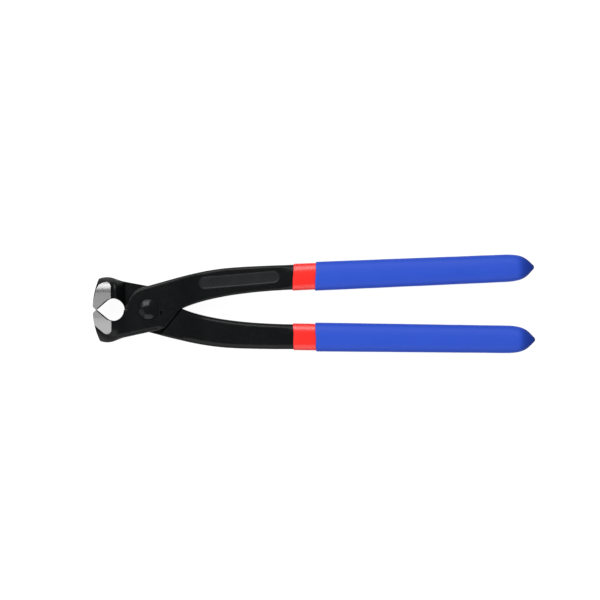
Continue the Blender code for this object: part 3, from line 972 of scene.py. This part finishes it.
# %% [markdown]
# ## Dipped grips
# Each handle is dipped twice in liquid vinyl: once in red over its whole length, then in blue, a little less
# deep. A dipped coat has no edges of its own. It follows the bar, rounds its corners, closes over the tip
# and ends at its mouth in a soft lip that is never quite straight.
# That is a section swept along a line, so Geometry Nodes make it. The line is a row of stations that goes
# from the tip along the inside to the mouth, over the lip, and back along the outside to the tip. Each
# station stores its middle and half its width and height. The tree turns the row into a curve, sweeps a
# circle along it, and moves each point of the circle to a superellipse of the stored size.

# %% Tree of the dipped coat
COAT_INPUTS = {
    "Stations": "NodeSocketGeometry",
    "Points Round": "NodeSocketInt",
    "Mouth Slant": "NodeSocketFloat",
    "Mouth Wave": "NodeSocketFloat",
    "Unevenness": "NodeSocketFloat",
    "Seed": "NodeSocketFloat",
    "Finish": "NodeSocketMaterial",
}


def coat_tree():
    tree = bpy.data.node_groups.new("dipped_coat", "GeometryNodeTree")
    tree.is_modifier = True
    sockets = {}
    for name, kind in COAT_INPUTS.items():
        sockets[name] = tree.interface.new_socket(name, in_out="INPUT", socket_type=kind).identifier
    tree.interface.new_socket("Coat", in_out="OUTPUT", socket_type="NodeSocketGeometry")
    given = add(tree, "NodeGroupInput").outputs

    def node(kind, inputs=None, settings=None):
        return add(tree, "GeometryNode" + kind, settings, inputs).outputs[0]

    def stored(name, kind="FLOAT"):
        return node("InputNamedAttribute", {"Name": name}, {"data_type": kind})

    def times(first, second):
        return calc(tree, "MULTIPLY", first, second)

    def scaled(vector, factor):
        inputs = {"Vector": vector, "Scale": factor}
        return add(tree, "ShaderNodeVectorMath", {"operation": "SCALE"}, inputs).outputs[0]

    def total(first, second):
        made = add(tree, "ShaderNodeVectorMath", {"operation": "ADD"})
        plug(tree, made.inputs[0], first)
        plug(tree, made.inputs[1], second)
        return made.outputs[0]

    def wavy(vector, scale, detail, amount):
        inputs = {"Vector": vector, "W": given["Seed"], "Scale": scale, "Detail": detail}
        made = add(tree, "ShaderNodeTexNoise", {"noise_dimensions": "4D"}, inputs)
        return times(calc(tree, "SUBTRACT", made.outputs["Fac"], 0.5), given[amount])

    line = node("MeshToCurve", {"Mesh": given["Stations"]})
    circle = node("CurvePrimitiveCircle", {"Resolution": given["Points Round"], "Radius": 0.001})
    mark = {"Geometry": circle, "Name": "turn", "Value": node("SplineParameter")}
    marked = node("StoreNamedAttribute", mark, {"data_type": "FLOAT", "domain": "POINT"})
    tube = node("CurveToMesh", {"Curve": line, "Profile Curve": marked})

    angle = times(stored("turn"), 2 * math.pi)
    square = stored("squareness")
    swings = [calc(tree, wave, angle) for wave in ("COSINE", "SINE")]
    powers = [calc(tree, "POWER", calc(tree, "ABSOLUTE", swing), square) for swing in swings]
    radius = calc(tree, "POWER", calc(tree, "ADD", *powers), calc(tree, "DIVIDE", -1.0, square))
    share, rise = [times(swing, radius) for swing in swings]
    upwards = times(rise, stored("half_height"))
    lifted = add(tree, "ShaderNodeCombineXYZ", inputs={"Z": upwards}).outputs["Vector"]
    width = times(share, stored("half_width"))
    section = total(scaled(stored("sideways", "FLOAT_VECTOR"), width), lifted)

    spot = total(stored("middle", "FLOAT_VECTOR"), section)
    lump = wavy(spot, 75.0, 2.0, "Unevenness")
    outwards = add(tree, "ShaderNodeVectorMath", {"operation": "NORMALIZE"}, {"Vector": section}).outputs[0]
    swelling = scaled(outwards, times(lump, stored("outside")))
    ripple = wavy(section, 160.0, 1.0, "Mouth Wave")
    slant = times(share, given["Mouth Slant"])
    creep = times(calc(tree, "ADD", ripple, slant), stored("mouth"))
    shift = add(tree, "ShaderNodeCombineXYZ", inputs={"X": creep}).outputs["Vector"]

    coat = node("SetPosition", {"Geometry": tube, "Position": total(total(spot, swelling), shift)})
    coat = node("MergeByDistance", {"Geometry": coat, "Distance": 2e-6})
    coat = node("SetShadeSmooth", {"Geometry": coat})
    coat = node("RealizeInstances", {"Geometry": coat})
    coat = node("SetMaterial", {"Geometry": coat, "Material": given["Finish"]})
    tree.links.new(coat, add(tree, "NodeGroupOutput").inputs["Coat"])
    return tree, sockets


COAT, COAT_SOCKETS = coat_tree()
print("coat tree", len(COAT.nodes), "nodes, inputs", sorted(COAT_SOCKETS))

# %% Stations of a coat
UNITS = {"half_width": 0.001, "half_height": 0.001, "squareness": 1, "outside": 1, "mouth": 1, "painted_tip_shade": 1}
# Painted shade: from here on the vinyl is darkened more and more towards the tip.
TIP_SHADE_START, TIP_SHADE_RUN = bar_length + 7.8, 3.6
TIP_SHADE_LEAST, TIP_SHADE_GROWTH = 0.32, 0.055


def station(s, *numbers):
    """A place along the bar, and what it stores. The last number is how much painted shade darkens the vinyl
    near the tip.
    """
    painted_tip_shade = ease((s - TIP_SHADE_START) / TIP_SHADE_RUN) * (TIP_SHADE_LEAST + TIP_SHADE_GROWTH * (s - TIP_SHADE_START))
    return (NECK + along * s).to_3d(), dict(zip(UNITS, (*numbers, painted_tip_shade)))


def row_mesh(name, stations, turn):
    """The stations as a row of points in metres, in their place on one half of the tool."""
    mesh = bpy.data.meshes.new(name)
    count = len(stations)
    middles = [turn @ middle for middle, numbers in stations]
    mesh.from_pydata(middles, [(i, i + 1) for i in range(count - 1)], [])
    sideways = turn.to_3x3().normalized() @ across.to_3d()
    for key, vectors in (("middle", middles), ("sideways", [sideways] * count)):
        flat = [value for vector in vectors for value in vector]
        mesh.attributes.new(key, "FLOAT_VECTOR", "POINT").data.foreach_set("vector", flat)
    for key, unit in UNITS.items():
        values = [unit * numbers[key] for middle, numbers in stations]
        mesh.attributes.new(key, "FLOAT", "POINT").data.foreach_set("value", values)
    return mesh


def coat(name, stations, turn, finish, slant, seed):
    """Runs the tree on a row of stations and keeps the result as a plain mesh."""
    obj = placed(name, row_mesh(name, stations, turn))
    dip = obj.modifiers.new("dip", "NODES")
    dip.node_group = COAT
    dip[COAT_SOCKETS["Points Round"]] = 112
    dip[COAT_SOCKETS["Mouth Slant"]] = slant
    dip[COAT_SOCKETS["Mouth Wave"]] = 0.0007
    dip[COAT_SOCKETS["Unevenness"]] = 0.00016
    dip[COAT_SOCKETS["Seed"]] = seed
    dip[COAT_SOCKETS["Finish"]] = finish
    mesh = settled(obj)
    shape = bmesh.new()
    shape.from_mesh(mesh)
    bmesh.ops.holes_fill(shape, edges=[edge for edge in shape.edges if edge.is_boundary])
    facing_out(shape).to_mesh(mesh)
    shape.free()
    return mesh


print("a bar station every 2 mm makes", len(even_steps(half_widths(), 2.0)), "stations")

# %% [markdown]
# ### Colours of the grips
# The vinyl is half matt. Close up it has a fine grain, faint clouds where the coat is thicker, and small
# scuffs where it has been handled. Towards the tip it is painted darker, as painted shade where the nose
# falls away from the light. The red is the thinner and glossier of the two.

# %% Vinyl finishes
TIP_SHADE_SHARES = (0.1, 0.28, 0.36)


def vinyl(name, deep, pale, scuffed, rough, shine, grain_depth):
    material, tree, place = new_finish(name)
    cloud = cloudy(tree, place, 60.0, 3.0)
    grain = cloudy(tree, place, 2400.0, 2.0)
    marks = drawn_out(tree, place, (160.0, 900.0, 900.0), 5.0)
    scuff = remap(tree, marks, (0.62, 0.78), (0.0, 0.35))
    tone = blend(tree, scuff, blend(tree, cloud, deep, pale), scuffed)
    # Painted shade: the tone darkens towards the tip, where the nose falls away from the light.
    tip_shade_tone = [share * value for share, value in zip(TIP_SHADE_SHARES, deep)]
    tone = blend(tree, mesh_number(tree, "painted_tip_shade"), tone, tip_shade_tone)
    roughness = remap(tree, cloud, (0.3, 0.7), (rough - 0.03, rough + 0.05))
    set_shader(tree, tone, roughness, shine, relief(tree, (cloud, 0.0002, 0.35), (grain, grain_depth, 0.5)))
    return material


RED_TONES = (0.99, 0.021, 0.016), (1.00, 0.028, 0.021), (1.00, 0.033, 0.026)
BLUE_TONES = (0.022, 0.080, 0.58), (0.028, 0.092, 0.63), (0.040, 0.115, 0.68)
RED = vinyl("red_vinyl", *RED_TONES, 0.26, 0.55, 0.000003)
BLUE = vinyl("blue_vinyl", *BLUE_TONES, 0.50, 0.22, 0.000012)
print("vinyl finishes", RED.name, BLUE.name)

# %% Red undercoat and blue grip
COAT_GAP, RED_WALL, BLUE_WALL, BLUE_FACE_WALL = 0.1, 0.45, 0.5, 1.2
MOUTH_FADE, LIP_STEPS, TIP_CLOSING = 6.0, 6, 1.6
INSIDE_STEP, RED_STEP, BLUE_STEP = 6.0, 1.5, 1.2
RED_LIP, BLUE_LIP = 0.25, 0.35
BLUE_FALL_START, BLUE_FALL_RUN, BLUE_FALL = bar_length + 7.6, 9.8, 4.3
BLUE_TIP_REACH, BLUE_TIP_R, BLUE_PULL = 0.2, 0.6, (11.2, 5.5)
red_in = COAT_GAP
red_out = red_in + RED_WALL
blue_in = red_out + COAT_GAP
blue_out = blue_in + BLUE_WALL


def surface(start, widths, height_at, squareness_at, step):
    """One surface of a coat, as rows of (distance, half width, half height, squareness) from its mouth on.

    Its width follows the bar, its height and its squareness are rules along the bar."""
    points = even_steps(widths, step)
    first = Vector((start, interpolate([tuple(point) for point in points], start)))
    points = [first] + [point for point in points if point.x > start + 0.01]
    end = points[-1].x
    rows = []
    for s, half_width in points:
        closing = min(1.0, max(0.0, (s - (end - TIP_CLOSING)) / TIP_CLOSING))
        half_height = height_at(s) * math.sqrt(max(0.0, 1 - closing**2))
        rows.append((s, max(0.0, half_width), half_height, squareness_at(s)))
    return rows


def steel_surface(start, gap, step):
    """A surface that follows the steel at a gap."""

    def height_at(s):
        return interpolate(steel_side, NECK.x + along.x * s) + gap

    return surface(start, half_widths(gap), height_at, lambda s: RED_SQUARENESS, step)


def blue_surface(start):
    def height_at(s):
        fall = max(0.0, s - BLUE_FALL_START) / BLUE_FALL_RUN
        return NECK_T / 2 + 2 * COAT_GAP + RED_WALL + BLUE_FACE_WALL - BLUE_FALL * fall**1.6

    widths = half_widths(blue_out, BLUE_TIP_REACH, BLUE_TIP_R, BLUE_PULL)
    return surface(start, widths, height_at, lambda s: 2.9 - 0.3 * s / bar_length, BLUE_STEP)


def shell(start, inner, outer, lip):
    """Stations from the tip inside, over the lip at the mouth, to the tip outside."""

    def run(rows, outside):
        return [station(s, *sizes, outside, math.exp(-((s - start) / MOUTH_FADE) ** 2)) for s, *sizes in rows]

    stations = run(reversed(inner), 0.0)
    for i in range(1, LIP_STEPS):
        turn = polar(1, 180 * i / LIP_STEPS)
        mix = (1 - turn.x) / 2
        sizes = [a + (b - a) * mix for a, b in zip(inner[0][1:], outer[0][1:])]
        stations.append(station(start - lip * turn.y, *sizes, mix, 1.0))
    return stations + run(outer, 1.0)


def red_stations(start):
    inner = steel_surface(start, red_in, INSIDE_STEP)
    return shell(start, inner, steel_surface(start, red_out, RED_STEP), RED_LIP)


def blue_stations(start):
    return shell(start, steel_surface(start, blue_in, INSIDE_STEP), blue_surface(start), BLUE_LIP)


UPPER = ("upper", "front_half", TO_PLACE, 2.2, 14.9, 0.0006, 3.0)
LOWER = ("lower", "rear_half", TURNED_OVER, 1.8, 14.6, 0.0003, 8.0)
for side, body, turn, red_start, blue_start, slant, seed in (UPPER, LOWER):
    red = coat(f"{side}_red", red_stations(red_start), turn, RED, slant, seed)
    finished(f"{side}_red_dip", red, body, f"{side}_red_undercoat")
    blue = coat(f"{side}_blue", blue_stations(blue_start), turn, BLUE, slant, seed + 1.5)
    finished(f"{side}_blue_dip", blue, body, f"{side}_blue_grip")

# %% [markdown]
# ## Rivet
# One rivet holds the two cheeks together. Its round head is struck by hand tools and then lacquered with the
# rest, so it isn't a perfect dome: a few blows have left shallow flats, most of them on one side. A profile
# is spun round the pivot axis, and each blow presses the points near it a little way in.

# %% Rivet
RIVET_R, RIVET_HEAD_R, RIVET_RIM = 4.0, 5.75, 0.8
SEAT = CHEEK_T + 0.1
CROWN_STEPS, SPIN_STEPS = 24, 96
BLOWS = [(0.2, -0.3, 2.0, 0.15), (3.0, 2.3, 2.8, 0.34), (3.4, -1.7, 2.8, 0.32), (-3.5, 2.5, 1.1, 0.06)]
BLOW_SHARPNESS = 1.4
RIVET_SHARP = math.radians(40)


def rivet_profile():
    """Points of radius and height, from the crown down to the middle of the flat tail."""
    rise = JAW_HALF - SEAT - RIVET_RIM
    crown = (RIVET_HEAD_R**2 + rise**2) / (2 * rise)
    spread = math.degrees(math.asin(RIVET_HEAD_R / crown))
    points = []
    for i in range(CROWN_STEPS + 1):
        turn = polar(crown, 90 - spread * i / CROWN_STEPS)
        points.append((turn.x, JAW_HALF - crown + turn.y))
    head, tail = RIVET_HEAD_R, -JAW_HALF
    points[-1] = (head - 0.12, points[-1][1] + 0.02)
    points += [(head, SEAT + RIVET_RIM - 0.15), (head, SEAT + 0.15), (head - 0.15, SEAT)]
    points += [(RIVET_R, SEAT), (RIVET_R, -SEAT), (head - 0.1, -SEAT), (head, -SEAT - 0.1)]
    points += [(head, tail + 0.6), (head - 0.12, tail + 0.35), (head - 0.6, tail)]
    return points + [(head * share / 6, tail) for share in (5, 4, 3, 2, 1, 0)]


def rivet_shape():
    shape = bmesh.new()
    row = [shape.verts.new((radius, 0, z)) for radius, z in rivet_profile()]
    edges = [shape.edges.new(pair) for pair in zip(row, row[1:])]
    spin = {"axis": (0, 0, 1), "cent": (0, 0, 0), "angle": 2 * math.pi, "steps": SPIN_STEPS}
    bmesh.ops.spin(shape, geom=row + edges, **spin)
    bmesh.ops.remove_doubles(shape, verts=shape.verts, dist=1e-4)
    facing_out(shape)
    for vertex in shape.verts:
        if vertex.co.z > SEAT + 0.5:
            for x, y, radius, depth in BLOWS:
                reach = math.hypot(vertex.co.x - x, vertex.co.y - y) / radius
                vertex.co.z -= depth * math.exp(-(reach**2) * BLOW_SHARPNESS)
        elif vertex.co.z < -JAW_HALF + 0.05:
            vertex.co.z += 0.03 * (1 + noise.noise(vertex.co * 0.35))
    for face in shape.faces:
        face.smooth = True
    return shape


def rivet_finish():
    material, tree, place = new_finish("rivet_lacquer")
    cloud = cloudy(tree, place, 380.0, 4.0)
    grain = cloudy(tree, place, 2200.0, 2.0)
    tone = blend(tree, cloud, (0.0018, 0.0034, 0.0036), (0.0040, 0.0064, 0.0068))
    roughness = remap(tree, cloud, (0.3, 0.7), (0.17, 0.25))
    set_shader(tree, tone, roughness, 0.26, relief(tree, (cloud, 0.00012, 0.5), (grain, 0.00001, 0.4)))
    return material


rivet = as_mesh(rivet_shape(), "rivet", rivet_finish())
rivet.set_sharp_from_angle(angle=RIVET_SHARP)
rivet.transform(TO_PLACE)
finished("struck_rivet", rivet, "front_half", "pivot_rivet")
